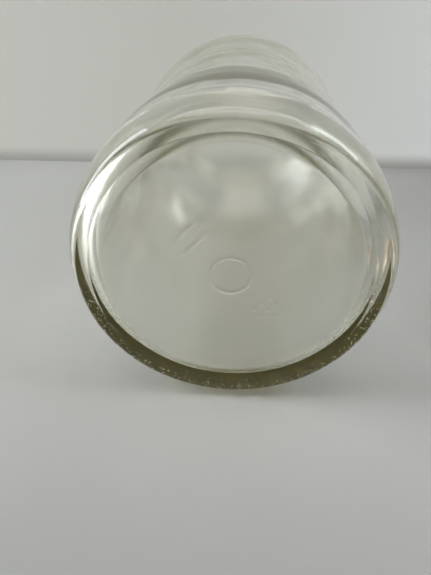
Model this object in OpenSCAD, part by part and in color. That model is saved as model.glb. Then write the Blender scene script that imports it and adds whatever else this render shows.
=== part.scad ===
// Screw-top canning jar lying on its side, with its two-piece closure taken off
// and laid face down on the table beside it.
// Millimetres. The jar's axis runs along Y, the mouth faces +Y and the base -Y.
// The origin is the centre of the mouth, in the plane of the sealing rim. +Z is up.

/* [Jar body] */
// Height of the jar when it stands upright
jar_h = 172; // [166:0.5:190]
// Diameter of the wide band above the heel, the widest part of the jar
body_d = 95; // [94:0.5:106]
// Diameter of the drawn-in label panel
panel_d = 91.6; // [89:0.2:93]
// Thickness of the side wall at the panel
wall_t = 3.2; // [2.4:0.1:4.2]
// Thickness of the side wall at the wide lower band
low_wall_t = 2; // [1.6:0.1:4]
// Height over which the heel curves out to the full width
heel_h = 12; // [6:1:20]
// Height of the top edge of the wide lower band
band_top = 28; // [25:1:34]
// Height of the slope between a wide band and the panel
step_h = 32; // [20:1:34]
// Height of the wide upper band under the shoulder
upper_band_h = 8; // [4:1:14]
// Height taken by the shoulder
shoulder_h = 23; // [19:1:28]
// Radius of the outer bend of the shoulder
shoulder_bend = 13; // [8:1:15]

/* [Base] */
// Outer diameter of the flat ring that the jar stands on
foot_d = 86; // [82:0.5:89]
// Width of the flat standing ring
foot_w = 3; // [2:0.5:5]
// Depth of the recess inside the standing ring
recess = 1.2; // [0.8:0.1:2.5]
// Thickness of the glass floor
floor_t = 5; // [3:0.5:9]
// Radius of the bend from the floor up into the wall, inside the jar
floor_bend = 9; // [3:0.5:11]
// Height of the raised marks on the underside
mark_h = 0.5; // [0.3:0.1:0.7]
// Outer radius of the raised ring in the middle of the underside
mark_ring_r = 6.5; // [5:0.5:9]
// Distance of the bars and of the dots from the middle of the underside
mark_out = 16; // [15:0.5:24]

/* [Grip ribs] */
// Number of raised ribs on each side of the panel
rib_count = 5; // [2:1:5]
// Spacing of the ribs
rib_step = 4; // [3:0.5:5]
// Length of a rib around the jar, in degrees
rib_arc = 32; // [8:1:40]
// Height of a rib above the glass
rib_h = 0.5; // [0.3:0.1:0.8]
// Width of a rib
rib_w = 1.4; // [0.8:0.2:2]
// Height of the ribs' middle above the lower edge of the panel
rib_up = 11.5; // [9.5:0.5:18]
// How far around the jar the ribs lie below its sides, in degrees
rib_turn = 10; // [0:1:20]

/* [Mouth and thread] */
// Diameter of the mouth bore
mouth_d = 60.4; // [58:0.2:61]
// Outer diameter of the neck between the thread ridges
neck_d = 66.6; // [65.6:0.2:66.8]
// Height of the neck that the closure covers
finish_h = 19; // [18:0.5:22]
// How far the thread ridge stands out from the neck
thread_rise = 1.6; // [1.4:0.1:1.7]
// Width of the thread ridge at its root
thread_w = 3; // [2.4:0.1:3.4]
// Climb of the thread in one turn
thread_pitch = 5; // [4.6:0.1:5.6]
// Length of the jar's thread, in turns
thread_turns = 1.2; // [1:0.1:1.3]
// How far the bead under the thread stands out from the neck
bead_rise = 2; // [1:0.1:2.2]

/* [Closure] */
// Thickness of the sheet steel of the band
band_t = 0.5; // [0.3:0.05:0.6]
// Depth of the band from its turned-in top to its curled edge
band_h = 17.5; // [16:0.5:18]
// Width of the top's turned-in flange
flange_w = 5.6; // [4:0.2:6.4]
// Radius of the curl along the band's open edge
curl_r = 1.1; // [0.8:0.1:1.3]
// Clearance between the jar's thread and the wall of the band
wall_gap = 0.5; // [0.4:0.05:0.7]
// How far the band's thread reaches in under the jar's thread
thread_grip = 0.55; // [0.4:0.05:0.7]
// Clearance between the lid's edge and the band's thread
lid_gap = 0.3; // [0.25:0.05:0.5]
// Thickness of the sheet steel of the lid
lid_t = 0.4; // [0.25:0.05:0.5]
// Depth of the lid from its panel to the underside of its channel
lid_h = 2.4; // [2:0.1:3]
// Thickness of the sealing compound in the lid's channel
seal_t = 0.9; // [0.6:0.1:1.2]
// Distance from the jar's axis to the closure's axis, on the table
closure_x = 134; // [126:1:180]
// Distance of the closure's axis behind the jar's base
closure_y = 46; // [20:1:100]

/* [Hidden] */
$fn = 96;
glass = [0.80, 0.87, 0.80, 0.45];
steel = [0.78, 0.78, 0.76];
lid_gold = [0.83, 0.80, 0.70];
plastisol = [0.75, 0.42, 0.28];

// Radii of the jar's outside
body_r = body_d / 2;
panel_r = panel_d / 2;
foot_r = foot_d / 2;
mouth_r = mouth_d / 2;
neck_r = neck_d / 2;
thread_r = neck_r + thread_rise;
bead_r = neck_r + bead_rise;

// Heights on the upright jar, from the standing ring up
neck_z = jar_h - finish_h;
shoulder_z = neck_z - shoulder_h;
upper_z = shoulder_z - upper_band_h;
panel_low = band_top + step_h;
panel_high = upper_z - step_h;

// The inside keeps the wall's thickness and is smoother than the outside
cavity_low_r = body_r - low_wall_t;
cavity_r = panel_r - wall_t;
cavity_upper_r = body_r - wall_t;
inner_lead = 2;
floor_z = recess + floor_t;
recess_slope = 3;
crown_z = shoulder_z + 0.3 * shoulder_h;
neck_step = 2;
neck_bend = 4;
lip_bend = 6;
arc_steps = 8;

// Raised marks. What stands out of the glass or the steel starts inside it.
sunk = 0.5;
mark_turn = 135;
bar_l = 9;
bar_w = 1.6;
bar_apart = 4.4;
dot_r = 0.7;
dot_step = 3;

// Rim, bead and thread
rim_round = 1.2;
bead_w = 3.2;
bead_crest_w = 1.3;
bead_z = neck_z + 2.4;
rim_to_thread = 2.6;
thread_top = jar_h - rim_to_thread - thread_w / 2;
ramp = 40;
turn_steps = 60;
ridge_crest = 1 / 3;
ridge_tip = 0.04;

// The band and the lid follow the jar's thread
band_in_r = thread_r + wall_gap;
band_out_r = band_in_r + band_t;
band_thread_r = thread_r - thread_grip;
band_thread_w = 1.9;
band_thread_turns = 1.1;
lid_r = band_thread_r - lid_gap;
flange_r = band_in_r - flange_w;
band_corner = 1;
curl_step = 0.15;
seat_gap = 0.1;
channel_out_r = lid_r - lid_t;
channel_in_r = mouth_r - 0.4;
panel_edge_r = channel_in_r - lid_t;
panel_slope = 0.6;
lid_ring_r = 0.62 * panel_edge_r;
lid_ring_h = 0.7;
lid_ring_top = 1;
lid_ring_foot = 2;

// Where things lie
table_z = -body_r;
base_y = -jar_h;

// Points of an arc tangent to both legs of the corner b, between a and c
function unit(v) = v / norm(v);
function bend(a, b, c, radius) =
    let (u = unit(a - b), v = unit(c - b), half = acos(u * v) / 2)
    let (centre = b + unit(u + v) * radius / sin(half))
    let (from = b + u * radius / tan(half), to = b + v * radius / tan(half))
    let (a0 = atan2(from.y - centre.y, from.x - centre.x))
    let (a1 = atan2(to.y - centre.y, to.x - centre.x))
    let (turn = (a1 - a0 + 540) % 360 - 180)
    [for (i = [0:arc_steps]) centre + radius * [cos(a0 + turn * i / arc_steps),
        sin(a0 + turn * i / arc_steps)]];

// Smooth slope from one radius and height to another
function slope(low, high) =
    [for (i = [0:arc_steps]) [low.x + (high.x - low.x) * (1 - cos(180 * i / arc_steps)) / 2,
        low.y + (high.y - low.y) * i / arc_steps]];

// The heel's quarter of an ellipse, from the standing ring to the full width
function heel() =
    [for (i = [0:arc_steps]) [foot_r + (body_r - foot_r) * sin(90 * i / arc_steps),
        heel_h * (1 - cos(90 * i / arc_steps))]];

// Outside of the jar, from the middle of the base to the rim
module jar_outside() {
    crown = [body_r, crown_z];
    lip = [neck_r, neck_z - neck_step];
    profile = concat(
        [[0, recess], [foot_r - foot_w - recess_slope, recess], [foot_r - foot_w, 0]],
        heel(),
        slope([body_r, band_top], [panel_r, panel_low]),
        slope([panel_r, panel_high], [body_r, upper_z]),
        bend([body_r, upper_z], crown, lip, shoulder_bend),
        bend(crown, lip, [neck_r, jar_h], neck_bend),
        bend([neck_r, neck_z], [neck_r, jar_h], [0, jar_h], rim_round),
        [[0, jar_h]]);
    rotate_extrude() polygon(profile);
}

// Inside of the jar, from the floor to the mouth. It narrows from inner_lead
// below the lower band's top edge, so the wall thickens upwards there.
module jar_inside() {
    low = [cavity_low_r, band_top - inner_lead];
    crown = [cavity_upper_r, crown_z - wall_t / 2];
    lip = [mouth_r, neck_z - neck_step - wall_t / 2];
    profile = concat(
        [[0, floor_z]],
        bend([0, floor_z], [cavity_low_r, floor_z], low, floor_bend),
        slope(low, [cavity_r, panel_low]),
        slope([cavity_r, panel_high], [cavity_upper_r, upper_z]),
        bend([cavity_upper_r, upper_z], crown, lip, shoulder_bend - wall_t),
        bend(crown, lip, [mouth_r, jar_h], lip_bend),
        [[mouth_r, jar_h - rim_round / 2], [mouth_r + rim_round / 2, jar_h],
            [mouth_r + rim_round / 2, jar_h + 1], [0, jar_h + 1]]);
    rotate_extrude() polygon(profile);
}

// Helical ridge on a round wall. It stands out from root_r by rise, which is
// negative on a ridge that points inwards, and its foot is buried in the wall.
// Both ends fade out.
module ridge(root_r, rise, width, pitch, turns, buried) {
    steps = ceil(turns * turn_steps);
    inner_r = root_r - sign(rise) * buried;
    crest = width * ridge_crest / 2;
    function fade(a) = max(ridge_tip, min(1, a / ramp, (turns * 360 - a) / ramp));
    function place(a, r, z) = [r * cos(a), r * sin(a), z + pitch * a / 360];
    points = [for (i = [0:steps]) let (a = i * turns * 360 / steps, f = fade(a)) each [
        place(a, inner_r, -width / 2),
        place(a, root_r + rise * f, -crest),
        place(a, root_r + rise * f, crest),
        place(a, inner_r, width / 2)]];
    sides = [for (i = [0:steps - 1], j = [0:3]) let (k = (j + 1) % 4)
        [4 * i + j, 4 * i + k, 4 * i + 4 + k, 4 * i + 4 + j]];
    last = 4 * steps;
    ends = [[3, 2, 1, 0], [last, last + 1, last + 2, last + 3]];
    outward = concat(sides, ends);
    inward = [for (f = outward) [f[3], f[2], f[1], f[0]]];
    polyhedron(points, rise > 0 ? outward : inward);
}

// Bead under the thread, which guides the closure's open edge
module bead() {
    rotate_extrude() translate([0, bead_z])
        polygon([[neck_r - sunk, -bead_w / 2 - sunk], [neck_r, -bead_w / 2],
            [bead_r, -bead_crest_w / 2], [bead_r, bead_crest_w / 2],
            [neck_r, bead_w / 2], [neck_r - sunk, bead_w / 2]]);
}

// Plain raised marks on the underside: a ring, two bars and a patch of dots
module base_marks() {
    height = mark_h + sunk;
    translate([0, 0, recess - mark_h]) rotate(mark_turn) {
        difference() {
            cylinder(r = mark_ring_r, h = height);
            translate([0, 0, -1]) cylinder(r = mark_ring_r - bar_w, h = height + 2);
        }
        for (y = [-bar_apart, bar_apart] / 2)
            translate([-bar_l, 2 * (y + mark_out) - bar_w, 0] / 2) cube([bar_l, bar_w, height]);
        for (x = [-1:1], y = [-1:1])
            translate([x * dot_step, y * dot_step - mark_out, 0])
                cylinder(r = dot_r, h = height);
    }
}

// Raised ribs around both sides of the panel
module grip_ribs() {
    first = panel_low + rib_up - ((rib_count - 1) * rib_step + rib_w) / 2;
    for (side = [rib_turn, 180 - rib_turn], i = [0:rib_count - 1])
        translate([0, 0, first + i * rib_step])
            rotate(side - rib_arc / 2)
                rotate_extrude(angle = rib_arc)
                    translate([panel_r - sunk, 0]) square([sunk + rib_h, rib_w]);
}

// The glass, as one piece, lying on its side
module glass_jar() {
    color(glass) translate([0, base_y, 0]) rotate([-90, 0, 0]) difference() {
        union() {
            jar_outside();
            bead();
            translate([0, 0, thread_top - thread_pitch * thread_turns])
                ridge(neck_r, thread_rise, thread_w, thread_pitch, thread_turns, sunk);
            base_marks();
            grip_ribs();
        }
        jar_inside();
    }
}

// Puts a piece of the closure on the table, face down beside the jar
module on_table() {
    translate([closure_x, base_y + closure_y, table_z]) children();
}

// Threaded ring. Its flange lies on the table and its curled edge is on top.
module screw_band() {
    edge_z = band_h - curl_r;
    color(steel) on_table() {
        rotate_extrude() {
            polygon([[flange_r, 0], [band_out_r - band_corner, 0], [band_out_r, band_corner],
                [band_out_r, edge_z], [band_in_r, edge_z], [band_in_r, band_t],
                [flange_r, band_t]]);
            translate([band_in_r + curl_r + curl_step, edge_z]) circle(r = curl_r);
        }
        translate([0, 0, band_h / 2 - thread_pitch * band_thread_turns / 2])
            ridge(band_in_r, band_thread_r - band_in_r, band_thread_w, thread_pitch,
                band_thread_turns, band_t / 2);
    }
}

// Lid plate, face down on the band's flange: panel, raised ring and channel
module lid_disc() {
    deep = lid_h - lid_t;
    color(lid_gold) on_table() translate([0, 0, band_t + seat_gap])
        rotate_extrude() {
            polygon([[0, deep], [lid_ring_r - lid_ring_foot, deep],
                [lid_ring_r - lid_ring_top, deep - lid_ring_h],
                [lid_ring_r + lid_ring_top, deep - lid_ring_h],
                [lid_ring_r + lid_ring_foot, deep], [panel_edge_r - panel_slope - lid_t, deep],
                [panel_edge_r, 0], [lid_r, 0], [lid_r, deep], [channel_out_r, deep],
                [channel_out_r, lid_t], [channel_in_r, lid_t],
                [panel_edge_r - panel_slope, lid_h], [0, lid_h]]);
        }
}

// Ring of sealing compound in the lid's channel
module sealing_compound() {
    inner_r = channel_in_r + lid_t;
    color(plastisol) on_table() translate([0, 0, band_t + seat_gap + lid_t])
        rotate_extrude() translate([inner_r, 0]) square([channel_out_r - inner_r, seal_t]);
}

glass_jar();
screw_band();
lid_disc();
sealing_compound();
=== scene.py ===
"""A screw-top canning jar lying on its side, its lid and band laid beside it.

Lengths are in metres. The jar's axis runs along Y, its mouth faces +Y and its
base -Y, and the table lies at the bottom of the frame. Shapes of revolution are
drawn as (radius, height) on the upright piece, spun, and then laid in place.
"""

import math

import bmesh
import bpy
from mathutils import Matrix, Vector, noise


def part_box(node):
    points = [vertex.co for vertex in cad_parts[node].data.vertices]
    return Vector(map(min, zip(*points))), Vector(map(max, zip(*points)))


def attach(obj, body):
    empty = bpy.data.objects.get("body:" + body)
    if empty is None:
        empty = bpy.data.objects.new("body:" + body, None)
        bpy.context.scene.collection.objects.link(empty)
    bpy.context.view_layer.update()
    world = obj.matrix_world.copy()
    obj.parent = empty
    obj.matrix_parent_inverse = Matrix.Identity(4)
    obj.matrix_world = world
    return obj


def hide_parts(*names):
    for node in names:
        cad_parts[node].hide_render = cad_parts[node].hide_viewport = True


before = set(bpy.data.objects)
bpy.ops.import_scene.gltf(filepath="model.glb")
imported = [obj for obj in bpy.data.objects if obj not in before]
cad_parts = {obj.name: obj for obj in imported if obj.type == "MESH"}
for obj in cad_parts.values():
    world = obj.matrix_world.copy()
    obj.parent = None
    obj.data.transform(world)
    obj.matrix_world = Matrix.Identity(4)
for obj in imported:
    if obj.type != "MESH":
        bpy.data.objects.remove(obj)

bl_info = {
    "name": "Canning Jar",
    "version": (1, 0, 0),
    "blender": (4, 5, 0),
    "location": "3D View > Sidebar > Canning Jar",
    "description": "A moulded glass jar with its lid and screw band",
    "category": "Add Mesh",
}

MM = 0.001
JAR_LOW, JAR_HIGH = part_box("glass_jar")
BAND_LOW, BAND_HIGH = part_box("screw_band")


def length(name, description, default, low=0.0, high=1.0):
    """A property that holds a length in metres."""
    return bpy.props.FloatProperty(
        name=name, description=description, default=default, min=low, soft_max=high,
        unit="LENGTH", precision=5)


def colour(name, description, default):
    """A property that holds a linear colour."""
    return bpy.props.FloatVectorProperty(
        name=name, description=description, default=default, size=3,
        subtype="COLOR", min=0.0, max=1.0)


def share(name, description, default, high=1.0):
    """A property that holds a plain number from nothing upwards."""
    return bpy.props.FloatProperty(
        name=name, description=description, default=default, min=0.0, soft_max=high)


# ---------------------------------------------------------------- sizes


class JarSizes(bpy.types.PropertyGroup):
    """Sizes of the glass jar as it stands upright."""

    height: length("Height", "Height of the jar", JAR_HIGH.y - JAR_LOW.y)
    body: length("Body radius", "Radius of the wide bands", -BAND_LOW.z)
    panel: length("Panel radius", "Radius of the drawn-in panel", 45.8 * MM)
    wall: length("Wall", "Thickness of the side wall", 3.2 * MM)
    low_wall: length("Low wall", "Thickness of the lower band's wall", 2 * MM)
    heel: length("Heel height", "Height over which the heel curves out", 12 * MM)
    band_top: length("Lower band", "Height of the lower band's top edge", 28 * MM)
    step: length("Step", "Height of the slope between a band and the panel", 32 * MM)
    upper_band: length("Upper band", "Height of the band under the shoulder", 8 * MM)
    shoulder: length("Shoulder", "Height taken by the shoulder", 23 * MM)
    shoulder_bend: length("Shoulder bend", "Outer bend of the shoulder", 13 * MM)
    foot: length("Foot radius", "Outer radius of the standing ring", 43 * MM)
    foot_width: length("Foot width", "Width of the standing ring", 3 * MM)
    recess: length("Recess", "Depth of the recess in the underside", 1.2 * MM)
    recess_slope: length("Recess slope", "Width of the recess's sloping edge", 3 * MM)
    floor: length("Floor", "Thickness of the glass floor", 5 * MM)
    floor_bend: length("Floor bend", "Bend from the floor to the wall", 9 * MM)
    mouth: length("Mouth radius", "Radius of the mouth's bore", 30.2 * MM)
    neck: length("Neck radius", "Radius of the neck under the thread", 33.3 * MM)
    finish: length("Finish", "Height of the neck that the band covers", 19 * MM)
    rim_round: length("Rim round", "Bend of the rim's outer edge", 1.2 * MM)
    bead_rise: length("Bead rise", "How far the guide bead stands out", 2 * MM)
    mark_rise: length("Mark rise", "Height of the underside's marks", 0.5 * MM)
    mark_ring: length("Mark ring", "Radius of the underside's ring", 5.7 * MM)
    mark_out: length("Mark distance", "Bars and dots to the middle", 16 * MM)
    rib_rise: length("Rib rise", "Height of the grip ribs", 0.5 * MM)
    rib_step: length("Rib step", "Spacing of the grip ribs", 4 * MM)
    rib_up: length("Rib height", "Ribs' middle to the panel's lower edge", 11.5 * MM)
    rib_turn: bpy.props.FloatProperty(
        name="Rib turn", description="How far below the jar's sides the ribs lie",
        default=math.radians(10), subtype="ANGLE")
    rib_arc: bpy.props.FloatProperty(
        name="Rib arc", description="Length of a rib around the jar",
        default=math.radians(32), subtype="ANGLE")
    seam_rise: length("Seam rise", "Height of the mould seam", 0.15 * MM)
    waves: length("Waves", "Unevenness of the glass on the inside", 0.10 * MM)


class ThreadSizes(bpy.types.PropertyGroup):
    """Sizes of the screw thread on the jar and in the band."""

    rise: length("Rise", "How far the jar's thread stands out", 1.6 * MM)
    width: length("Width", "Width of the jar's thread at its root", 3 * MM)
    pitch: length("Pitch", "Climb of the thread in one turn", 5 * MM)
    turns: share("Turns", "Length of the jar's thread in turns", 1.2, 3.0)
    below_rim: length("Below the rim", "Height of rim above the thread", 2.6 * MM)
    band_turns: share("Band turns", "Length of the band's thread", 1.1, 3.0)
    band_width: length("Band width", "Width of the band's rolled thread", 2.6 * MM)
    band_depth: length("Band depth", "How far it is rolled inwards", 0.95 * MM)


class ClosureSizes(bpy.types.PropertyGroup):
    """Sizes of the lid and the screw band."""

    sheet: length("Band sheet", "Thickness of the band's steel", 0.5 * MM)
    inside: length("Band radius", "Inner radius of the band's wall", 35.4 * MM)
    depth: length("Band depth", "Depth of the band", 17.5 * MM)
    flange: length("Flange", "Width of the turned-in flange", 5.6 * MM)
    curl: length("Curl", "Radius of the curl along the open edge", 1.1 * MM)
    lid_radius: length("Lid radius", "Outer radius of the lid", 34.05 * MM)
    lid_sheet: length("Lid sheet", "Thickness of the lid's steel", 0.4 * MM)
    lid_depth: length("Lid depth", "Depth from channel to panel", 2.4 * MM)
    seat: length("Seat", "Gap between the lid and the flange", 0.1 * MM)
    seal: length("Seal", "Thickness of the sealing compound", 0.9 * MM)


class Finishes(bpy.types.PropertyGroup):
    """Colours of the finishes."""

    glass: colour("Glass", "Colour that the surface passes", (0.99, 0.99, 0.985))
    depth_tint: colour("Depth tint", "Tint of thick glass", (0.687, 0.666, 0.408))
    tint_density: share("Tint density", "How fast the tint builds up", 38.0, 60.0)
    cloudiness: share("Cloudiness", "Roughness of the floor's inner side", 0.22, 1.0)
    ior: share("Refraction", "Index of refraction of the glass", 1.52, 2.5)
    steel: colour("Steel", "Tin-plated steel", (0.72, 0.71, 0.68))
    lacquer: colour("Lacquer", "Lacquer on the lid's inside", (0.70, 0.66, 0.56))
    compound: colour("Compound", "Sealing compound", (0.42, 0.13, 0.06))
    table: colour("Table", "Table top", (0.335, 0.331, 0.319))
    backdrop: colour("Backdrop", "Backdrop behind the table", (0.72, 0.71, 0.65))


class StageSettings(bpy.types.PropertyGroup):
    """Camera, light and surroundings."""

    eye: bpy.props.FloatVectorProperty(
        name="Eye", description="Camera, in body radii from the foot of the base",
        default=(0.060, -2.297, 2.468), size=3)
    pitch: bpy.props.FloatProperty(
        name="Pitch", description="Downward tilt of the camera",
        default=math.radians(33.8), subtype="ANGLE")
    yaw: bpy.props.FloatProperty(
        name="Yaw", description="Turn of the camera about the vertical",
        default=math.radians(3.66), subtype="ANGLE")
    focal: share("Focal length", "Focal length in heights of the picture", 0.8087, 3.0)
    backdrop_gap: length("Backdrop", "Backdrop behind the base", 231 * MM)
    window: share("Window light", "Power of the window on the left", 19.0, 100.0)
    side: share("Side light", "Power of the light on the right", 4.5, 100.0)
    overhead: share("Overhead light", "Power of the light above", 15.0, 100.0)
    sky: share("Surroundings", "Strength of the light all round", 1.35, 2.0)
    room: share("Room", "Share of that light that comes from behind the camera", 0.22)


# ---------------------------------------------------------------- outlines

ARC_STEPS = 12
ARC_STEP = 0.4 * MM


def bend(before, corner, after, radius):
    """Arc that rounds a corner of an outline."""
    a, b, c = Vector(before), Vector(corner), Vector(after)
    u, v = (a - b).normalized(), (c - b).normalized()
    half = u.angle(v) / 2
    centre = b + (u + v).normalized() * radius / math.sin(half)
    start = b + u * radius / math.tan(half) - centre
    end = b + v * radius / math.tan(half) - centre
    first = math.atan2(start.y, start.x)
    turn = (math.atan2(end.y, end.x) - first + math.pi) % math.tau - math.pi
    steps = min(ARC_STEPS, max(3, math.ceil(abs(turn) * radius / ARC_STEP)))
    angles = (first + turn * i / steps for i in range(steps + 1))
    return [centre + Vector((math.cos(t), math.sin(t))) * radius for t in angles]


def slope(low, high):
    """Smooth slope from one (radius, height) to another."""
    points = []
    for i in range(ARC_STEPS + 1):
        t = i / ARC_STEPS
        blend = (1 - math.cos(math.pi * t)) / 2
        points.append(Vector((low[0] + (high[0] - low[0]) * blend,
                              low[1] + (high[1] - low[1]) * t)))
    return points


def quarter(foot, top, height):
    """The heel's quarter of an ellipse."""
    angles = (math.pi / 2 * i / ARC_STEPS for i in range(ARC_STEPS + 1))
    return [Vector((foot + (top - foot) * math.sin(a), height * (1 - math.cos(a))))
            for a in angles]


def densify(points, spacing):
    """Adds points so that no step is longer than spacing(radius, height)."""
    dense = [Vector(points[0])]
    for a, b in zip(points, points[1:]):
        a, b = Vector(a), Vector(b)
        middle = (a + b) / 2
        parts = max(1, math.ceil((b - a).length / spacing(middle.x, middle.y) - 1e-6))
        dense.extend(a.lerp(b, i / parts) for i in range(1, parts + 1))
    return dense


# ---------------------------------------------------------------- meshes


# Steps round each piece
JAR_STEPS = 320
BAND_STEPS = 288
LID_STEPS = 192
# Points closer than this are one point
MERGE = 1e-6
# Turn over which a thread's end fades out
THREAD_END = math.radians(40)


def spin_outline(points, steps, closed=False):
    """Spins an outline of (radius, height) through half a turn and mirrors it."""
    bm = bmesh.new()
    verts = [bm.verts.new((max(p[0], 0.0), 0.0, p[1])) for p in points]
    edges = [bm.edges.new(pair) for pair in zip(verts, verts[1:])]
    if closed:
        edges.append(bm.edges.new((verts[-1], verts[0])))
    bmesh.ops.spin(bm, geom=verts + edges, cent=(0, 0, 0), axis=(0, 0, 1),
                   angle=math.pi, steps=steps // 2)
    bmesh.ops.remove_doubles(bm, verts=bm.verts, dist=MERGE)
    bmesh.ops.mirror(bm, geom=bm.verts[:] + bm.edges[:] + bm.faces[:],
                     matrix=Matrix.Identity(4), merge_dist=MERGE, axis="Y")
    bmesh.ops.remove_doubles(bm, verts=bm.verts, dist=MERGE)
    bmesh.ops.recalc_face_normals(bm, faces=bm.faces)
    return bm


def finish_mesh(bm, name, place):
    """Lays a finished mesh in place and makes it a smooth-shaded object."""
    bmesh.ops.transform(bm, matrix=place, verts=bm.verts)
    bmesh.ops.recalc_face_normals(bm, faces=bm.faces)
    for face in bm.faces:
        face.smooth = True
    mesh = bpy.data.meshes.new(name)
    bm.to_mesh(mesh)
    bm.free()
    piece = bpy.data.objects.new(name, mesh)
    bpy.context.scene.collection.objects.link(piece)
    return piece


def bump_shape(distance, half_width, crest=0.3):
    """Height from 1 to 0 of a rounded ridge at a distance from its middle."""
    t = abs(distance) / half_width
    if t >= 1:
        return 0.0
    t = max(0.0, (t - crest) / (1 - crest))
    return 0.5 + 0.5 * math.cos(math.pi * t)


def thread_height(angle, height, start, pitch, turns, width):
    """Height from 1 to 0 of a helical ridge, whose ends fade out."""
    total = turns * math.tau
    tallest = 0.0
    for turn in range(math.ceil(turns)):
        along = angle % math.tau + turn * math.tau
        if along <= total:
            fade = min(1.0, along / THREAD_END, (total - along) / THREAD_END)
            middle = start + pitch * along / math.tau
            tallest = max(tallest, fade * bump_shape(height - middle, width / 2))
    return tallest


def jar_place():
    """Lays the upright jar on its side, its rim at the origin."""
    height = bpy.context.scene.jar_sizes.height
    return Matrix.Translation((0, -height, 0)) @ Matrix.Rotation(-math.pi / 2, 4, "X")


def closure_place():
    """Lays the upside-down closure on the table beside the jar."""
    middle = (BAND_LOW + BAND_HIGH) / 2
    return Matrix.Translation((middle.x, middle.y, BAND_LOW.z))


# ---------------------------------------------------------------- the glass jar


# Where the shoulder turns inwards, as a share of its height
CROWN_SHARE = 0.3
# The neck's lower corner, below the part that the band covers
LIP_DROP = 2 * MM
# The guide bead's middle above the neck's foot, and its width
BEAD_UP = 2.4 * MM
BEAD_WIDTH = 3.2 * MM
# The thread starts above this height over the neck's foot
THREAD_FOOT = 4 * MM
# Where the inside starts to narrow, below the outside's slope
INNER_LEAD = 2 * MM
# Bends: recess, foot, neck outside and inside, bead's foot and crest, mouth
RECESS_BEND = 2 * MM
FOOT_BEND = 1 * MM
NECK_BEND = 4 * MM
INNER_NECK_BEND = 6 * MM
BEAD_FOOT_BEND = 0.3 * MM
BEAD_BEND = 0.4 * MM
MOUTH_BEND = 0.8 * MM
# The marks lie inside this radius. The ring's and the other marks' reach across
MARKED_RADIUS = 21 * MM
RING_REACH = 1 * MM
MARK_REACH = 4.3 * MM
# The marks' half widths and crest, the bars' spacing and length, the dots' spacing
LINE_HALF = 0.75 * MM
DOT_HALF = 0.85 * MM
MARK_CREST = 0.1
BAR_APART = 2.2 * MM
BAR_HALF = 3.9 * MM
DOT_STEP = 3 * MM
# The ribs' reach and half width, and the turn over which their ends fade out
RIB_REACH = 1.2 * MM
RIB_HALF = 0.8 * MM
RIB_END = math.radians(1)
# The mould seams' place and half width
SEAM_ANGLE = math.radians(-9)
SEAM_HALF = 0.7 * MM
# Scales of the glass's waves, the outside's share of them, and where they fade
BROAD_WAVES = 45
FINE_WAVES = 110
OUTER_WAVES = 0.12
WAVE_FADE = 30 * MM
# Steps along the outline: on the marks, beside them, on thread and ribs, elsewhere
MARK_SPACING = 0.35 * MM
BASE_SPACING = 2 * MM
RIDGE_SPACING = 0.5 * MM
PLAIN_SPACING = 3 * MM
# How near a point is to a wall to count as on it
NEAR = 0.1 * MM


def jar_outside(s):
    """Outline of the jar's outside, from the middle of the base to the rim."""
    neck_z = s.height - s.finish
    shoulder_z = neck_z - s.shoulder
    upper_z = shoulder_z - s.upper_band
    crown = (s.body, shoulder_z + s.shoulder * CROWN_SHARE)
    lip = (s.neck, neck_z - LIP_DROP)
    ring_in = s.foot - s.foot_width
    recess_edge = (ring_in - s.recess_slope, s.recess)
    marked = (0, s.mark_ring - RING_REACH, s.mark_ring + RING_REACH,
              s.mark_out - MARK_REACH, s.mark_out + MARK_REACH, MARKED_RADIUS)
    points = [Vector((radius, s.recess)) for radius in marked]
    points += bend((0, s.recess), recess_edge, (ring_in, 0), RECESS_BEND)
    points += bend(recess_edge, (ring_in, 0), (s.foot, 0), FOOT_BEND)
    points += quarter(s.foot, s.body, s.heel)
    points += slope((s.body, s.band_top), (s.panel, s.band_top + s.step))
    for rib in rib_heights(s):
        points += [Vector((s.panel, rib + reach)) for reach in (-RIB_REACH, RIB_REACH)]
    points += slope((s.panel, upper_z - s.step), (s.body, upper_z))
    points += bend((s.body, upper_z), crown, lip, s.shoulder_bend)
    points += bend(crown, lip, (s.neck, s.height), NECK_BEND)[:-1]
    points += bead_outline(s.neck, s.neck + s.bead_rise, neck_z + BEAD_UP)
    points += bend((s.neck, neck_z), (s.neck, s.height), (0, s.height), s.rim_round)
    return points


def bead_outline(neck, crest, middle):
    """Outline of the guide bead on the neck, from its foot to its top."""
    corners = [(neck, middle - BEAD_WIDTH), (neck, middle - BEAD_WIDTH / 2),
               (crest, middle - BEAD_WIDTH / 5), (crest, middle + BEAD_WIDTH / 5),
               (neck, middle + BEAD_WIDTH / 2), (neck, middle + BEAD_WIDTH)]
    bends = (BEAD_FOOT_BEND, BEAD_BEND, BEAD_BEND, BEAD_FOOT_BEND)
    points = []
    for a, b, c, radius in zip(corners, corners[1:], corners[2:], bends):
        points += bend(a, b, c, radius)
    return points


def jar_inside(s):
    """Outline of the jar's inside, from the rim down to the floor."""
    neck_z = s.height - s.finish
    shoulder_z = neck_z - s.shoulder
    upper_z = shoulder_z - s.upper_band
    floor_z = s.recess + s.floor
    inner = s.panel - s.wall
    inner_upper = s.body - s.wall
    low = (s.body - s.low_wall, s.band_top - INNER_LEAD)
    crown = (inner_upper, shoulder_z + s.shoulder * CROWN_SHARE - s.wall / 2)
    lip = (s.mouth, neck_z - LIP_DROP - s.wall / 2)
    points = [Vector((0, floor_z))]
    points += bend((0, floor_z), (low[0], floor_z), low, s.floor_bend)
    points += slope(low, (inner, s.band_top + s.step))
    points += slope((inner, upper_z - s.step), (inner_upper, upper_z))
    points += bend((inner_upper, upper_z), crown, lip, s.shoulder_bend - s.wall)
    points += bend(crown, lip, (s.mouth, s.height), INNER_NECK_BEND)
    points += bend(lip, (s.mouth, s.height), (s.neck, s.height), MOUTH_BEND)
    return points[::-1]


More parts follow.
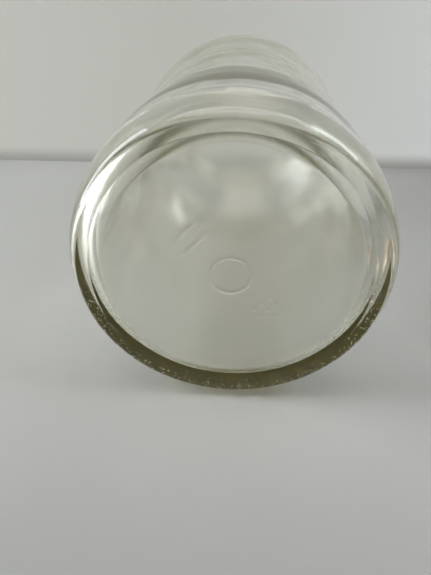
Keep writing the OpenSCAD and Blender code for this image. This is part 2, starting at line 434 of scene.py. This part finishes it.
def rib_heights(s):
    """Heights of the five grip ribs on each side of the panel."""
    middle = s.band_top + s.step + s.rib_up
    return [middle + i * s.rib_step for i in (-2, -1, 0, 1, 2)]


def base_mark(x, y, s):
    """Height from 1 to 0 of the ring, bars and dots raised on the underside."""
    ring = math.hypot(x, y) - s.mark_ring
    tallest = bump_shape(ring, LINE_HALF, MARK_CREST)
    out = (y + x) * -math.sqrt(0.5)
    along = (y - x) * -math.sqrt(0.5)
    if abs(along) > BAR_HALF + 2 * LINE_HALF:
        return tallest
    for apart in (-BAR_APART, BAR_APART):
        across = out - s.mark_out - apart
        beyond = max(0.0, abs(along) - BAR_HALF)
        bar = math.hypot(across, beyond)
        tallest = max(tallest, bump_shape(bar, LINE_HALF, MARK_CREST))
    for column in (-DOT_STEP, 0.0, DOT_STEP):
        for row in (-DOT_STEP, 0.0, DOT_STEP):
            dot = math.hypot(along - column, out + s.mark_out - row)
            tallest = max(tallest, bump_shape(dot, DOT_HALF, MARK_CREST))
    return tallest


def grip_rib(angle, height, s):
    """Height from 1 to 0 of the ribs on both sides of the panel."""
    reach = s.rib_arc / 2
    aside = min(abs(math.remainder(angle - s.rib_turn, math.tau)),
                abs(math.remainder(angle - math.pi + s.rib_turn, math.tau)))
    if aside > reach:
        return 0.0
    end = min(1.0, (reach - aside) / RIB_END)
    return max(end * bump_shape(height - rib, RIB_HALF) for rib in rib_heights(s))


def mould_seam(angle, radius):
    """Height from 1 to 0 of the two seams where the mould's halves met."""
    aside = min(abs(math.remainder(angle - SEAM_ANGLE, math.tau)),
                abs(math.remainder(angle - SEAM_ANGLE - math.pi, math.tau)))
    return max(0.0, 1 - aside * radius / SEAM_HALF)


class CANNINGJAR_OT_glass_jar(bpy.types.Operator):
    """Spin the moulded glass jar and raise its thread and marks"""

    bl_idname = "canningjar.glass_jar"
    bl_label = "Glass jar"

    def execute(self, context):
        s = context.scene.jar_sizes
        t = context.scene.thread_sizes
        neck_z = s.height - s.finish
        ribs = rib_heights(s)

        def spacing(radius, height):
            if height < s.recess + NEAR and radius < MARKED_RADIUS:
                marked = (abs(radius - s.mark_ring) < RING_REACH
                          or abs(radius - s.mark_out) < MARK_REACH)
                return MARK_SPACING if marked else BASE_SPACING
            if height > neck_z + THREAD_FOOT and radius > s.neck - NEAR:
                return RIDGE_SPACING
            near_rib = min(abs(height - rib) for rib in ribs) < RIB_REACH
            if near_rib and radius > s.panel - NEAR:
                return RIDGE_SPACING
            return PLAIN_SPACING

        bm = spin_outline(densify(jar_outside(s) + jar_inside(s), spacing), JAR_STEPS)
        thread_z = s.height - t.below_rim - t.width / 2 - t.pitch * t.turns
        shoulder_z = neck_z - s.shoulder
        floor_middle = s.recess + s.floor / 2
        bm.normal_update()
        for vert in bm.verts:
            x, y, z = vert.co
            radius = math.hypot(x, y)
            if radius < MERGE:
                continue
            angle = math.atan2(y, x)
            outwards = Vector((x, y, 0)) / radius
            wave = noise.noise(vert.co * BROAD_WAVES)
            wave += 0.5 * noise.noise(vert.co * FINE_WAVES)
            faces_in = vert.normal.dot(outwards) < -0.3 or vert.normal.z > 0.9 and z < neck_z
            if faces_in and z > floor_middle:
                fade = min(1.0, (s.height - z) / WAVE_FADE)
                vert.co += vert.normal * s.waves * wave * fade
            elif z > neck_z + THREAD_FOOT:
                if radius > s.neck - NEAR:
                    vert.co += outwards * t.rise * thread_height(
                        angle, z, thread_z, t.pitch, t.turns, t.width)
            elif z > s.heel / 2:
                vert.co -= vert.normal * s.waves * OUTER_WAVES * (1 + wave)
                vert.co += outwards * s.rib_rise * grip_rib(angle, z, s)
                if z < shoulder_z:
                    vert.co += outwards * s.seam_rise * mould_seam(angle, radius)
            elif radius < MARKED_RADIUS:
                vert.co.z -= s.mark_rise * base_mark(x, y, s)
        jar = finish_mesh(bm, "glass_jar_moulding", jar_place())
        jar.data.materials.append(jar_glass())
        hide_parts("glass_jar")
        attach(jar, "jar")
        return {"FINISHED"}


# ---------------------------------------------------------------- the closure


# The band's corner at the flange, outside and inside
BAND_BEND = 1.2 * MM
BAND_INNER_BEND = 0.7 * MM
# The curl's distance from the wall, where the wall turns out into it, and the bend there
CURL_OFF = 0.1 * MM
CURL_FOOT = 0.6 * MM
CURL_LEAD = 1.4 * MM
CURL_FOOT_BEND = 0.15 * MM
CURL_ANGLES = range(200, 521, 20)
# The rolled thread stays this many curl radii below the edge
CURL_CLEAR = 2.2
# Steps along the band's section: in the flange, up to its height, and in the wall
FLANGE_SPACING = 0.8 * MM
FLANGE_HEIGHT = 2 * MM
WALL_SPACING = 0.4 * MM


def band_outline(c):
    """Closed section through the band, flange down and curl up."""
    outside = c.inside + c.sheet
    flange_r = c.inside - c.flange
    edge_z = c.depth - c.curl
    middle = Vector((outside + c.curl - c.sheet + CURL_OFF, edge_z))
    foot = Vector((outside, edge_z - CURL_FOOT))
    points = bend((flange_r, 0), (outside, 0), foot, BAND_BEND)
    points += [foot - Vector((0, CURL_LEAD))]
    points += bend((outside, 0), foot, foot + Vector((1, 0.1)) * MM, CURL_FOOT_BEND)
    turns = [math.radians(angle) for angle in CURL_ANGLES]
    points += [middle + Vector((math.cos(a), math.sin(a))) * c.curl for a in turns]
    points += bend((c.inside, edge_z), (c.inside, c.sheet), (flange_r, c.sheet),
                   BAND_INNER_BEND)
    points += [Vector((flange_r, c.sheet)), Vector((flange_r, 0))]
    return points


class CANNINGJAR_OT_screw_band(bpy.types.Operator):
    """Spin the band and roll its thread into the wall"""

    bl_idname = "canningjar.screw_band"
    bl_label = "Screw band"

    def execute(self, context):
        c = context.scene.closure_sizes
        t = context.scene.thread_sizes
        outline = band_outline(c)

        def spacing(radius, height):
            return WALL_SPACING if height > FLANGE_HEIGHT else FLANGE_SPACING

        points = densify(outline + outline[:1], spacing)[:-1]
        bm = spin_outline(points, BAND_STEPS, closed=True)
        thread_z = c.depth / 2 - t.pitch * t.band_turns / 2
        for vert in bm.verts:
            x, y, z = vert.co
            radius = math.hypot(x, y)
            if radius < c.inside - c.sheet or z > c.depth - CURL_CLEAR * c.curl:
                continue
            rolled = t.band_depth * thread_height(
                math.atan2(y, x), z, thread_z, t.pitch, t.band_turns, t.band_width)
            vert.co.x -= x / radius * rolled
            vert.co.y -= y / radius * rolled
        band = finish_mesh(bm, "screw_band_rolled", closure_place())
        band.data.materials.append(band_steel())
        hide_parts("screw_band")
        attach(band, "band")
        return {"FINISHED"}


# The panel's edge in the channel, and its steps inwards and outwards to the sheet's faces
PANEL_RADIUS = 29.4 * MM
PANEL_LOWER = 1.4 * MM
PANEL_UPPER = 0.9 * MM
PANEL_FOOT = 0.4 * MM
# The pressed ring, its depth, and its half widths at the foot and crest on each face
LID_RING = 18.2 * MM
RING_DEPTH = 0.7 * MM
LOWER_RING = (2.4 * MM, 0.9 * MM)
UPPER_RING = (2.3 * MM, 0.7 * MM)
LID_BEND = 0.5 * MM
LID_SPACING = 1.5 * MM
# The compound's inner edge, the bend of its corners and the steps along its section
SEAL_INNER = 30.2 * MM
SEAL_BEND = 0.35 * MM
SEAL_SPACING = 0.5 * MM
# Share of an outline's shorter side that a rounded corner may take
CORNER_ROOM = 0.45


def lid_outline(c):
    """Section through the lid, face down: panel, pressed ring and channel."""
    deep = c.lid_depth - c.lid_sheet
    channel_out = c.lid_radius - c.lid_sheet
    foot, crest = LOWER_RING
    lower = [(0, deep), (LID_RING - foot, deep), (LID_RING - crest, deep - RING_DEPTH),
             (LID_RING + crest, deep - RING_DEPTH), (LID_RING + foot, deep),
             (PANEL_RADIUS - PANEL_LOWER, deep), (PANEL_RADIUS, 0), (c.lid_radius, 0)]
    foot, crest = UPPER_RING
    top = c.lid_depth
    upper = [(c.lid_radius, deep), (channel_out, deep), (channel_out, c.lid_sheet),
             (PANEL_RADIUS + PANEL_FOOT, c.lid_sheet), (PANEL_RADIUS - PANEL_UPPER, top),
             (LID_RING + foot, top), (LID_RING + crest, top - RING_DEPTH),
             (LID_RING - crest, top - RING_DEPTH), (LID_RING - foot, top), (0, top)]
    return lower + upper


def rounded(points, radius):
    """Rounds each inner corner of an outline by up to radius."""
    result = [Vector(points[0])]
    for a, b, c in zip(points, points[1:], points[2:]):
        a, b, c = Vector(a), Vector(b), Vector(c)
        half = (a - b).angle(c - b) / 2
        room = CORNER_ROOM * min((a - b).length, (c - b).length) * math.tan(half)
        result += bend(a, b, c, min(radius, room))
    return result + [Vector(points[-1])]


class CANNINGJAR_OT_lid_disc(bpy.types.Operator):
    """Spin the pressed lid plate"""

    bl_idname = "canningjar.lid_disc"
    bl_label = "Lid"

    def execute(self, context):
        c = context.scene.closure_sizes
        outline = rounded(lid_outline(c), LID_BEND)
        bm = spin_outline(densify(outline, lambda radius, height: LID_SPACING), LID_STEPS)
        lift = Matrix.Translation((0, 0, c.sheet + c.seat))
        lid = finish_mesh(bm, "lid_disc_pressing", closure_place() @ lift)
        lid.data.materials.append(lid_lacquer())
        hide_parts("lid_disc")
        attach(lid, "lid")
        return {"FINISHED"}


class CANNINGJAR_OT_sealing_compound(bpy.types.Operator):
    """Spin the ring of sealing compound in the lid's channel"""

    bl_idname = "canningjar.sealing_compound"
    bl_label = "Sealing compound"

    def execute(self, context):
        c = context.scene.closure_sizes
        outer = c.lid_radius - c.lid_sheet
        section = [(SEAL_INNER, 0), (outer, 0), (outer, c.seal), (SEAL_INNER, c.seal),
                   (SEAL_INNER, 0)]
        outline = rounded(section, SEAL_BEND)
        points = densify(outline, lambda radius, height: SEAL_SPACING)[:-1]
        bm = spin_outline(points, LID_STEPS, closed=True)
        lift = Matrix.Translation((0, 0, c.sheet + c.seat + c.lid_sheet))
        seal = finish_mesh(bm, "sealing_compound_ring", closure_place() @ lift)
        seal.data.materials.append(seal_compound())
        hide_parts("sealing_compound")
        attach(seal, "lid")
        return {"FINISHED"}


# ---------------------------------------------------------------- finishes


class Nodes:
    """Short way to add and join nodes in one tree."""

    def __init__(self, tree):
        self.tree = tree

    def add(self, kind, label="", **values):
        """A node with its inputs set by name, in words joined by underscores."""
        node = self.tree.nodes.new(kind)
        node.label = label
        for key, value in values.items():
            name = key.replace("_", " ")
            if name in node.inputs:
                node.inputs[name].default_value = value
            else:
                setattr(node, key, value)
        return node

    def join(self, output, socket):
        self.tree.links.new(output, socket)

    def math(self, operation, *values, clamp=False):
        """The output of a Math node. A value is a number or another output."""
        node = self.add("ShaderNodeMath", operation=operation, use_clamp=clamp)
        for socket, value in zip(node.inputs, values):
            if isinstance(value, bpy.types.NodeSocket):
                self.join(value, socket)
            else:
                socket.default_value = value
        return node.outputs["Value"]

    def spread(self, value, start, full):
        """Rises smoothly from 0 at start to 1 at full."""
        node = self.add("ShaderNodeMapRange", interpolation_type="SMOOTHSTEP")
        self.join(value, node.inputs["Value"])
        node.inputs["From Min"].default_value = start
        node.inputs["From Max"].default_value = full
        return node.outputs["Result"]

    def place(self):
        """Object coordinates, whole and split into X, Y and Z."""
        coordinates = self.add("ShaderNodeTexCoord")
        apart = self.add("ShaderNodeSeparateXYZ")
        self.join(coordinates.outputs["Object"], apart.inputs["Vector"])
        return coordinates.outputs["Object"], apart

    def radius(self, first, second):
        """Distance from an axis, from the two coordinates across it."""
        squares = self.math("ADD", self.math("MULTIPLY", first, first),
                            self.math("MULTIPLY", second, second))
        return self.math("SQRT", squares)

    def closure_rings(self):
        """Object coordinates, and a vector that only changes across the rings."""
        middle = (BAND_LOW + BAND_HIGH) / 2
        place, apart = self.place()
        across = self.radius(self.math("SUBTRACT", apart.outputs["X"], middle.x),
                             self.math("SUBTRACT", apart.outputs["Y"], middle.y))
        rings = self.add("ShaderNodeCombineXYZ", "rings")
        self.join(self.math("MULTIPLY", across, 2200.0), rings.inputs["X"])
        self.join(self.math("MULTIPLY", apart.outputs["Z"], 2200.0), rings.inputs["Y"])
        self.join(self.math("MULTIPLY", apart.outputs["X"], 25.0), rings.inputs["Z"])
        return place, rings.outputs["Vector"]

    def group(self, shared, vector, **values):
        """The mask that a shared group puts out."""
        node = self.add("ShaderNodeGroup", shared.name)
        node.node_tree = shared
        self.join(vector, node.inputs["Vector"])
        for name, value in values.items():
            node.inputs[name].default_value = value
        return node.outputs["Mask"]

    def mix_colours(self, share_of_second, first, second):
        """A mix of two colours, each an output or a written colour."""
        node = self.add("ShaderNodeMix", data_type="RGBA")
        self.join(share_of_second, node.inputs["Factor"])
        for socket, value in ((node.inputs[6], first), (node.inputs[7], second)):
            if isinstance(value, bpy.types.NodeSocket):
                self.join(value, socket)
            else:
                socket.default_value = (*value, 1)
        return node.outputs[2]

    def bump(self, height, shader, distance):
        """Feeds a height to the shader's normal through a Bump node."""
        node = self.add("ShaderNodeBump", Strength=1.0, Distance=distance)
        self.join(height, node.inputs["Height"])
        self.join(node.outputs["Normal"], shader.inputs["Normal"])


def new_material(name):
    """A material with its nodes, its surface shader and its output."""
    material = bpy.data.materials.new(name)
    material.use_nodes = True
    tree = material.node_tree
    shader = tree.nodes["Principled BSDF"]
    return material, Nodes(tree), shader, tree.nodes["Material Output"]


def new_group(name, inputs, output):
    """A node group with float inputs after its vector and one float output."""
    group = bpy.data.node_groups.new(name, "ShaderNodeTree")
    group.interface.new_socket("Vector", in_out="INPUT", socket_type="NodeSocketVector")
    for label, value in inputs:
        socket = group.interface.new_socket(label, in_out="INPUT", socket_type="NodeSocketFloat")
        socket.default_value = value
    group.interface.new_socket(output, in_out="OUTPUT", socket_type="NodeSocketFloat")
    nodes = Nodes(group)
    return group, nodes, nodes.add("NodeGroupInput"), nodes.add("NodeGroupOutput")


def hairlines_group():
    """Thin broken scratches. Stretch the vector to lay them in one direction."""
    if "hairline_scratches" in bpy.data.node_groups:
        return bpy.data.node_groups["hairline_scratches"]
    group, nodes, given, result = new_group(
        "hairline_scratches", (("Scale", 100.0), ("Width", 0.02)), "Mask")
    lines = nodes.add("ShaderNodeTexNoise", "where the lines run", Detail=1.0)
    nodes.join(given.outputs["Vector"], lines.inputs["Vector"])
    nodes.join(given.outputs["Scale"], lines.inputs["Scale"])
    middle = nodes.math("SUBTRACT", lines.outputs["Fac"], 0.5)
    distance = nodes.math("ABSOLUTE", middle)
    near = nodes.math("DIVIDE", distance, given.outputs["Width"])
    line = nodes.math("SUBTRACT", 1.0, near, clamp=True)
    gaps = nodes.add("ShaderNodeTexNoise", "where they break off", Detail=0.0)
    nodes.join(given.outputs["Vector"], gaps.inputs["Vector"])
    nodes.join(nodes.math("MULTIPLY", given.outputs["Scale"], 1.7), gaps.inputs["Scale"])
    kept = nodes.spread(gaps.outputs["Fac"], 0.50, 0.62)
    nodes.join(nodes.math("MULTIPLY", line, kept), result.inputs["Mask"])
    return group


def patches_group():
    """Soft cloudy patches, for smears, tarnish and uneven lacquer."""
    if "cloudy_patches" in bpy.data.node_groups:
        return bpy.data.node_groups["cloudy_patches"]
    group, nodes, given, result = new_group(
        "cloudy_patches", (("Scale", 20.0), ("Start", 0.45), ("Full", 0.75)), "Mask")
    cloud = nodes.add("ShaderNodeTexNoise", "cloud", Detail=4.0, Roughness=0.6)
    nodes.join(given.outputs["Vector"], cloud.inputs["Vector"])
    nodes.join(given.outputs["Scale"], cloud.inputs["Scale"])
    soft = nodes.add("ShaderNodeMapRange", "soft edge", interpolation_type="SMOOTHSTEP")
    nodes.join(cloud.outputs["Fac"], soft.inputs["Value"])
    nodes.join(given.outputs["Start"], soft.inputs["From Min"])
    nodes.join(given.outputs["Full"], soft.inputs["From Max"])
    nodes.join(soft.outputs["Result"], result.inputs["Mask"])
    return group


def jar_glass():
    """Clear moulded glass, olive where it is thick, cloudy on the floor inside."""
    finish = bpy.context.scene.finishes
    sizes = bpy.context.scene.jar_sizes
    material, nodes, shader, output = new_material("jar_glass")
    shader.inputs["Base Color"].default_value = (*finish.glass, 1)
    shader.inputs["IOR"].default_value = finish.ior
    shader.inputs["Transmission Weight"].default_value = 1.0
    depth = nodes.add("ShaderNodeVolumeAbsorption", "thick glass",
                      Color=(*finish.depth_tint, 1), Density=finish.tint_density)
    nodes.join(depth.outputs["Volume"], output.inputs["Volume"])

    # The floor's inner side is cloudy, from inside the glass to a little up the wall
    place, apart = nodes.place()
    across = nodes.radius(apart.outputs["X"], apart.outputs["Z"])
    along = nodes.math("ADD", apart.outputs["Y"], sizes.height)
    floor_z = sizes.recess + sizes.floor
    inside = nodes.math("MULTIPLY", nodes.spread(along, 0.6 * floor_z, 0.8 * floor_z),
                        nodes.spread(along, floor_z + 6 * MM, floor_z + 2 * MM))
    inside = nodes.math("MULTIPLY", inside,
                        nodes.spread(across, sizes.body - 2.6 * MM, sizes.body - 3.4 * MM))
    cloud = nodes.group(patches_group(), place, Scale=38.0, Start=0.30, Full=0.72)
    cloudy = nodes.math("MULTIPLY", nodes.math("MULTIPLY_ADD", cloud, 0.5, 0.75),
                        finish.cloudiness)
    cloudy = nodes.math("MULTIPLY", cloudy, inside)

    # The heel is rubbed where the jar lies on it
    heel = nodes.math("MULTIPLY", nodes.spread(along, sizes.heel * 1.3, sizes.heel * 0.7),
                      nodes.spread(across, sizes.foot - 4 * MM, sizes.foot - 1 * MM))
    rub_marks = nodes.group(hairlines_group(), place, Scale=700.0, Width=0.03)
    rubbed = nodes.math("MULTIPLY", heel, nodes.spread(apart.outputs["Z"], 5 * MM, -15 * MM))
    rub_marks = nodes.math("MULTIPLY", rub_marks, rubbed)
    smears = nodes.group(patches_group(), place, Scale=24.0, Start=0.50, Full=0.80)
    rough = nodes.math("MULTIPLY_ADD", rub_marks, 0.45, cloudy)
    rough = nodes.math("MULTIPLY_ADD", smears, 0.03, rough)
    nodes.join(rough, shader.inputs["Roughness"])

    skin = nodes.add("ShaderNodeTexNoise", "skin of moulded glass", Scale=70.0, Detail=1.0)
    nodes.join(place, skin.inputs["Vector"])
    height = nodes.math("MULTIPLY_ADD", rub_marks, -1.6, skin.outputs["Fac"])
    nodes.bump(height, shader, 0.05 * MM)
    return material


def band_steel():
    """Tin-plated steel sheet, spun and rolled, with fine rings and light wear."""
    finish = bpy.context.scene.finishes
    material, nodes, shader, _ = new_material("band_steel")
    shader.inputs["Metallic"].default_value = 1.0
    place, rings = nodes.closure_rings()
    spun = nodes.add("ShaderNodeTexNoise", "rolling marks", Scale=1.0, Detail=3.0)
    nodes.join(rings, spun.inputs["Vector"])
    tarnish = nodes.group(patches_group(), place, Scale=60.0, Start=0.42, Full=0.78)
    scratches = nodes.group(hairlines_group(), place, Scale=170.0, Width=0.018)
    dull = tuple(0.62 * value for value in finish.steel)
    tint = nodes.mix_colours(tarnish, finish.steel, dull)
    nodes.join(tint, shader.inputs["Base Color"])
    rough = nodes.math("MULTIPLY_ADD", spun.outputs["Fac"], 0.22, 0.12)
    rough = nodes.math("MULTIPLY_ADD", tarnish, 0.16, rough)
    rough = nodes.math("MULTIPLY_ADD", scratches, 0.20, rough)
    nodes.join(rough, shader.inputs["Roughness"])
    height = nodes.math("MULTIPLY_ADD", scratches, -1.0, spun.outputs["Fac"])
    nodes.bump(height, shader, 0.02 * MM)
    return material


def lid_lacquer():
    """Tin-plated steel under a thin warm lacquer, with handling marks."""
    finish = bpy.context.scene.finishes
    material, nodes, shader, _ = new_material("lid_lacquer")
    shader.inputs["Metallic"].default_value = 0.85
    shader.inputs["Coat Weight"].default_value = 0.35
    shader.inputs["Coat Roughness"].default_value = 0.12
    place, rings = nodes.closure_rings()
    pressed = nodes.add("ShaderNodeTexNoise", "rolling marks", Scale=1.0, Detail=2.0)
    nodes.join(rings, pressed.inputs["Vector"])
    uneven = nodes.group(patches_group(), place, Scale=45.0, Start=0.35, Full=0.75)
    scratches = nodes.group(hairlines_group(), place, Scale=120.0, Width=0.012)
    thin = tuple(min(1.0, 1.18 * value) for value in finish.lacquer)
    tint = nodes.mix_colours(uneven, finish.lacquer, thin)
    wear_and_painted_shade = nodes.mix_colours(scratches, tint, finish.steel)
    nodes.join(wear_and_painted_shade, shader.inputs["Base Color"])
    rough = nodes.math("MULTIPLY_ADD", uneven, 0.10, 0.24)
    rough = nodes.math("MULTIPLY_ADD", scratches, 0.20, rough)
    nodes.join(rough, shader.inputs["Roughness"])
    height = nodes.math("MULTIPLY_ADD", scratches, -0.8, pressed.outputs["Fac"])
    nodes.bump(height, shader, 0.015 * MM)
    return material


def seal_compound():
    """Matt compound that flowed into the channel and set, with a faint grain."""
    finish = bpy.context.scene.finishes
    material, nodes, shader, _ = new_material("seal_compound")
    place, rings = nodes.closure_rings()
    flow = nodes.group(patches_group(), place, Scale=130.0, Start=0.35, Full=0.75)
    pale = tuple(1.35 * value for value in finish.compound)
    nodes.join(nodes.mix_colours(flow, finish.compound, pale), shader.inputs["Base Color"])
    nodes.join(nodes.math("MULTIPLY_ADD", flow, 0.15, 0.45), shader.inputs["Roughness"])
    grain = nodes.add("ShaderNodeTexNoise", "grain", Scale=900.0, Detail=2.0)
    nodes.join(place, grain.inputs["Vector"])
    height = nodes.math("ADD", grain.outputs["Fac"], flow)
    nodes.bump(height, shader, 0.04 * MM)
    return material


# ---------------------------------------------------------------- the stage


def table_paint():
    """Satin paint on the table, unevenly toned, with painted shade that darkens it towards its
    front and right.
    """
    finish = bpy.context.scene.finishes
    material, nodes, shader, _ = new_material("table_paint")
    place, apart = nodes.place()
    uneven = nodes.group(patches_group(), place, Scale=9.0, Start=0.30, Full=0.80)
    bright = tuple(1.06 * value for value in finish.table)
    paint = nodes.mix_colours(uneven, finish.table, bright)
    # Painted shade: the paint darkens towards the table's front and towards its right.
    front = nodes.spread(apart.outputs["Y"], JAR_LOW.y + 15 * MM, JAR_LOW.y - 100 * MM)
    right = nodes.spread(apart.outputs["X"], -20 * MM, 200 * MM)
    dim = tuple(0.68 * value for value in finish.table)
    wear_and_painted_shade = nodes.mix_colours(nodes.math("MAXIMUM", front, right), paint, dim)
    nodes.join(wear_and_painted_shade, shader.inputs["Base Color"])
    nodes.join(nodes.math("MULTIPLY_ADD", uneven, 0.08, 0.36), shader.inputs["Roughness"])
    strokes = nodes.add("ShaderNodeTexNoise", "brush strokes", Scale=1.0, Detail=3.0)
    stretch = nodes.add("ShaderNodeMapping", Scale=(12.0, 320.0, 1.0))
    nodes.join(place, stretch.inputs["Vector"])
    nodes.join(stretch.outputs["Vector"], strokes.inputs["Vector"])
    nodes.bump(strokes.outputs["Fac"], shader, 0.04 * MM)
    return material


def backdrop_paint():
    """Matt warm white wall, with painted light that makes it paler to the right and painted
    shade where it meets the table.
    """
    finish = bpy.context.scene.finishes
    material, nodes, shader, _ = new_material("backdrop_paint")
    place, apart = nodes.place()
    # Painted light: the wall is paler towards its right.
    right = nodes.spread(apart.outputs["X"], -0.05, 0.22)
    pale = tuple(min(1.0, 1.6 * value) for value in finish.backdrop)
    tint = nodes.mix_colours(right, finish.backdrop, pale)
    # Painted shade: the wall is dimmed at its foot, where it meets the table.
    foot = nodes.spread(apart.outputs["Z"], JAR_LOW.z + 12 * MM, JAR_LOW.z)
    dim = tuple(0.62 * value for value in finish.backdrop)
    nodes.join(nodes.mix_colours(foot, tint, dim), shader.inputs["Base Color"])
    shader.inputs["Roughness"].default_value = 0.9
    return one_sided(material)


def one_sided(material):
    """Lets the backdrop be seen from the front only."""
    tree = material.node_tree
    nodes = Nodes(tree)
    output = tree.nodes["Material Output"]
    clear = nodes.add("ShaderNodeBsdfTransparent", "from behind")
    side = nodes.add("ShaderNodeNewGeometry", "which side")
    mix = nodes.add("ShaderNodeMixShader", "front or back")
    nodes.join(side.outputs["Backfacing"], mix.inputs[0])
    nodes.join(tree.nodes["Principled BSDF"].outputs["BSDF"], mix.inputs[1])
    nodes.join(clear.outputs["BSDF"], mix.inputs[2])
    nodes.join(mix.outputs["Shader"], output.inputs["Surface"])
    return material


def sheet_piece(name, width, depth, place, material):
    """A flat rectangle of the stage."""
    bm = bmesh.new()
    bmesh.ops.create_grid(bm, x_segments=1, y_segments=1, size=0.5)
    bmesh.ops.scale(bm, vec=(width, depth, 1), verts=bm.verts)
    bmesh.ops.transform(bm, matrix=place, verts=bm.verts)
    mesh = bpy.data.meshes.new(name)
    bm.to_mesh(mesh)
    bm.free()
    mesh.materials.append(material)
    piece = bpy.data.objects.new(name, mesh)
    bpy.context.scene.collection.objects.link(piece)
    return piece


def area_light(name, place, target, size, power, tint):
    """A rectangular lamp that faces a target."""
    data = bpy.data.lights.new(name, "AREA")
    data.shape = "RECTANGLE"
    data.size, data.size_y = size
    data.energy = power
    data.color = tint
    lamp = bpy.data.objects.new(name, data)
    bpy.context.scene.collection.objects.link(lamp)
    lamp.location = place
    facing = Vector(target) - Vector(place)
    lamp.rotation_euler = facing.to_track_quat("-Z", "Y").to_euler()
    return lamp


# Each lamp's place from the foot of the base, and its width and height, in metres
WINDOW_AT, WINDOW_SIZE = Vector((-1.15, 0.08, 0.52)), (0.7, 1.1)
SIDE_AT, SIDE_SIZE = Vector((0.8, 0.1, 0.75)), (0.5, 0.5)
OVERHEAD_AT, OVERHEAD_SIZE = Vector((-0.1, -0.1, 1.5)), (1.4, 1.4)
COOL, WARM = (0.88, 0.95, 1.0), (1.0, 0.98, 0.95)
SKY = (0.80, 0.82, 0.84)
FLOOR_SIZE = 6
BACKDROP_WIDTH, BACKDROP_HEIGHT = 4, 2
SENSOR = 24
# Light runs far along inside a glass wall, and a filter on it would darken it
LIGHT_BOUNCES = 48
GLOSS_FILTER = 0.0


class CANNINGJAR_OT_stage(bpy.types.Operator):
    """Lay the floor and backdrop and set the camera and lights"""

    bl_idname = "canningjar.stage"
    bl_label = "Stage"

    def execute(self, context):
        scene = context.scene
        stage = scene.stage_settings
        sizes = scene.jar_sizes
        radius = sizes.body
        base = Vector((0, -sizes.height, -radius))
        middle = Vector((0, -sizes.height / 2, 0))

        floor = Matrix.Translation((0, 0, -radius))
        sheet_piece("floor", FLOOR_SIZE, FLOOR_SIZE, floor, table_paint())
        wall = Vector((0, base.y + stage.backdrop_gap, BACKDROP_HEIGHT / 2 - radius))
        upright = Matrix.Translation(wall) @ Matrix.Rotation(math.pi / 2, 4, "X")
        sheet_piece("backdrop", BACKDROP_WIDTH, BACKDROP_HEIGHT, upright, backdrop_paint())

        data = bpy.data.cameras.new("camera")
        camera = bpy.data.objects.new("camera", data)
        scene.collection.objects.link(camera)
        data.sensor_fit = "VERTICAL"
        data.sensor_height = SENSOR
        data.lens = SENSOR * stage.focal
        data.clip_start = 0.005
        camera.location = base + Vector(stage.eye) * radius
        camera.rotation_euler = (math.pi / 2 - stage.pitch, 0, stage.yaw)
        scene.camera = camera

        area_light("window_light", base + WINDOW_AT, middle, WINDOW_SIZE, stage.window, COOL)
        area_light("side_light", base + SIDE_AT, middle, SIDE_SIZE, stage.side, COOL)
        area_light("overhead_light", base + OVERHEAD_AT, middle, OVERHEAD_SIZE,
                   stage.overhead, WARM)

        world = bpy.data.worlds.new("surroundings")
        scene.world = world
        world.use_nodes = True
        nodes = Nodes(world.node_tree)
        background = world.node_tree.nodes["Background"]
        background.inputs["Strength"].default_value = stage.sky
        _, apart = nodes.place()
        front = nodes.spread(apart.outputs["Y"], 0.3, -0.5)
        low = nodes.spread(apart.outputs["Z"], 0.5, 0.1)
        shade = nodes.math("MAXIMUM", front, low)
        dim = tuple(stage.room * value for value in SKY)
        nodes.join(nodes.mix_colours(shade, SKY, dim), background.inputs["Color"])
        scene.view_settings.view_transform = "Standard"
        scene.cycles.blur_glossy = GLOSS_FILTER
        scene.cycles.max_bounces = LIGHT_BOUNCES
        scene.cycles.glossy_bounces = LIGHT_BOUNCES
        scene.cycles.transmission_bounces = LIGHT_BOUNCES
        return {"FINISHED"}


# ---------------------------------------------------------------- sidebar


class CANNINGJAR_PT_sidebar(bpy.types.Panel):
    """Sizes, finishes and pieces of the canning jar"""

    bl_idname = "CANNINGJAR_PT_sidebar"
    bl_label = "Canning jar"
    bl_space_type = "VIEW_3D"
    bl_region_type = "UI"
    bl_category = "Canning Jar"

    def draw(self, context):
        scene = context.scene
        for heading, group in GROUPS:
            box = self.layout.box()
            box.label(text=heading)
            settings = getattr(scene, group)
            for name in settings.__annotations__:
                box.prop(settings, name)
        for operator in OPERATORS:
            self.layout.operator(operator.bl_idname)


GROUPS = (("Jar", "jar_sizes"), ("Thread", "thread_sizes"), ("Closure", "closure_sizes"),
          ("Finishes", "finishes"), ("Stage", "stage_settings"))
SETTINGS = (JarSizes, ThreadSizes, ClosureSizes, Finishes, StageSettings)
OPERATORS = (CANNINGJAR_OT_stage, CANNINGJAR_OT_glass_jar, CANNINGJAR_OT_screw_band,
             CANNINGJAR_OT_lid_disc, CANNINGJAR_OT_sealing_compound)
CLASSES = SETTINGS + OPERATORS + (CANNINGJAR_PT_sidebar,)


def register():
    for cls in CLASSES:
        bpy.utils.register_class(cls)
    for (_, name), cls in zip(GROUPS, SETTINGS):
        setattr(bpy.types.Scene, name, bpy.props.PointerProperty(type=cls))


def unregister():
    for _, name in GROUPS:
        delattr(bpy.types.Scene, name)
    for cls in reversed(CLASSES):
        bpy.utils.unregister_class(cls)


def corners(bounds):
    """A box's two corners as plain lists."""
    return [[round(value, 6) for value in corner] for corner in bounds]


def main():
    register()
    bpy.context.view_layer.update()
    bpy.ops.canningjar.stage()
    bpy.ops.canningjar.glass_jar()
    bpy.ops.canningjar.screw_band()
    bpy.ops.canningjar.lid_disc()
    bpy.ops.canningjar.sealing_compound()


if __name__ == "__main__":
    main()
